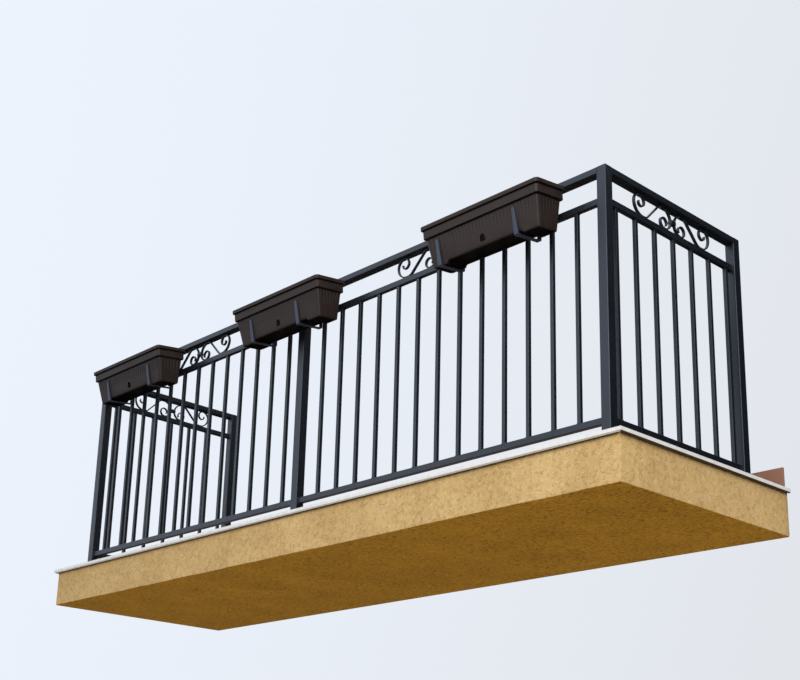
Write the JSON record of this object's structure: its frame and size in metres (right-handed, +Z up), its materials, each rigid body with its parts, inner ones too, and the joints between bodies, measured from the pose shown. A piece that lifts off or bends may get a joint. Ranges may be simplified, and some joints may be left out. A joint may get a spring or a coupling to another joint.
{
  "type": "balcony with steel railing",
  "caption": "Rendered cantilever balcony slab with tiled deck, a square-bar steel railing with scroll panels under the handrail, and plastic trough planters hooked on its front.",
  "frame": {"origin": "middle of the slab's back face, where it meets the wall, at half the slab's thickness", "axes": "+X to the right along the wall as seen from outside, +Y into the wall, +Z up"},
  "size_m": [3.534, 1.0504, 1.219],
  "materials": {
    "concrete": "cast concrete, hidden under the coats",
    "render": "scratched ochre render, matte",
    "mortar": "grey tile mortar, matte",
    "profile_white": "white coated sheet, satin",
    "deck_tile": "matte red-brown tile",
    "skirting_tile": "satin red-brown tile",
    "railing_steel": "satin anthracite paint",
    "planter_plastic": "moulded dark brown plastic",
    "bracket_steel": "dark painted strip steel"
  },
  "bodies": {
    "root": {"slab_core": "concrete", "render_front": "render", "render_ends": "render", "render_soffit": "render", "drip_profile": "profile_white", "mortar_bed": "mortar", "deck_tiles": "deck_tile", "skirting": "skirting_tile", "post_corner_left": "railing_steel", "post_corner_right": "railing_steel", "post_middle": "railing_steel", "post_wall_left": "railing_steel", "post_wall_right": "railing_steel", "post_bases": "railing_steel", "handrail_front_left": "railing_steel", "handrail_front_right": "railing_steel", "handrail_left": "railing_steel", "handrail_right": "railing_steel", "panel_front_left": "railing_steel", "panel_front_right": "railing_steel", "panel_left": "railing_steel", "panel_right": "railing_steel", "scrolls_front_left": "railing_steel", "scrolls_front_right": "railing_steel", "scrolls_left": "railing_steel", "scrolls_right": "railing_steel", "planter_left": "planter_plastic", "planter_middle": "planter_plastic", "planter_right": "planter_plastic", "brackets_left": "bracket_steel", "brackets_middle": "bracket_steel", "brackets_right": "bracket_steel"}
  },
  "joints": []
}
